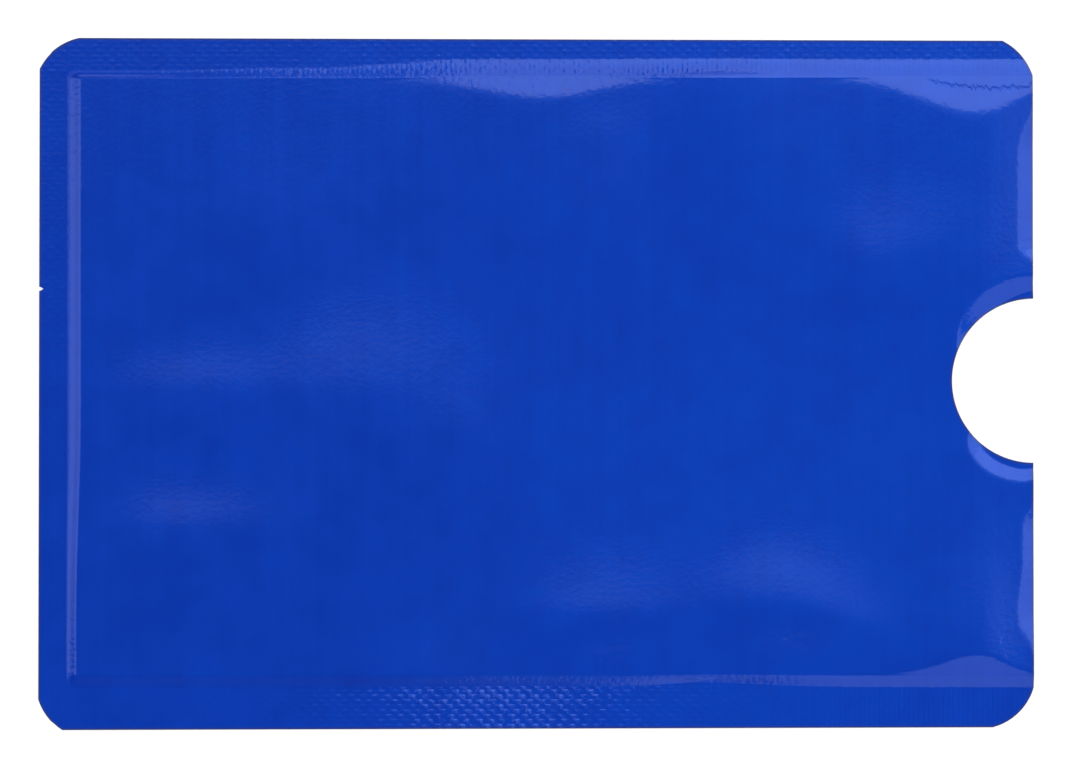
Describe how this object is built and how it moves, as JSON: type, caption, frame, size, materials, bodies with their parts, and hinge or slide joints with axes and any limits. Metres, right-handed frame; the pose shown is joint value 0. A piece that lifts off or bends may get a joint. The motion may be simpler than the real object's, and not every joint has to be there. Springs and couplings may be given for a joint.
{
  "type": "card sleeve",
  "caption": "Flat card sleeve of glossy foil laminate, welded on three sides, with an open mouth and a half-round thumb notch.",
  "frame": {"origin": "middle of the back panel's outer face, which the sleeve lies on", "axes": "+X from the closed end to the mouth, +Y across the sleeve towards the narrow side seal, +Z from the back panel to the front panel"},
  "size_m": [0.091, 0.0632, 0.0017],
  "materials": {
    "printed_film": "gloss",
    "shield_foil": "satin",
    "sealing_liner": "satin",
    "weld": "satin"
  },
  "bodies": {
    "root": {"back_face_film": "printed_film", "back_foil_shield": "shield_foil", "back_liner": "sealing_liner", "front_face_film": "printed_film", "front_foil_shield": "shield_foil", "front_liner": "sealing_liner", "upper_side_seal": "weld", "lower_side_seal": "weld", "closed_end_seal": "weld"}
  },
  "joints": []
}
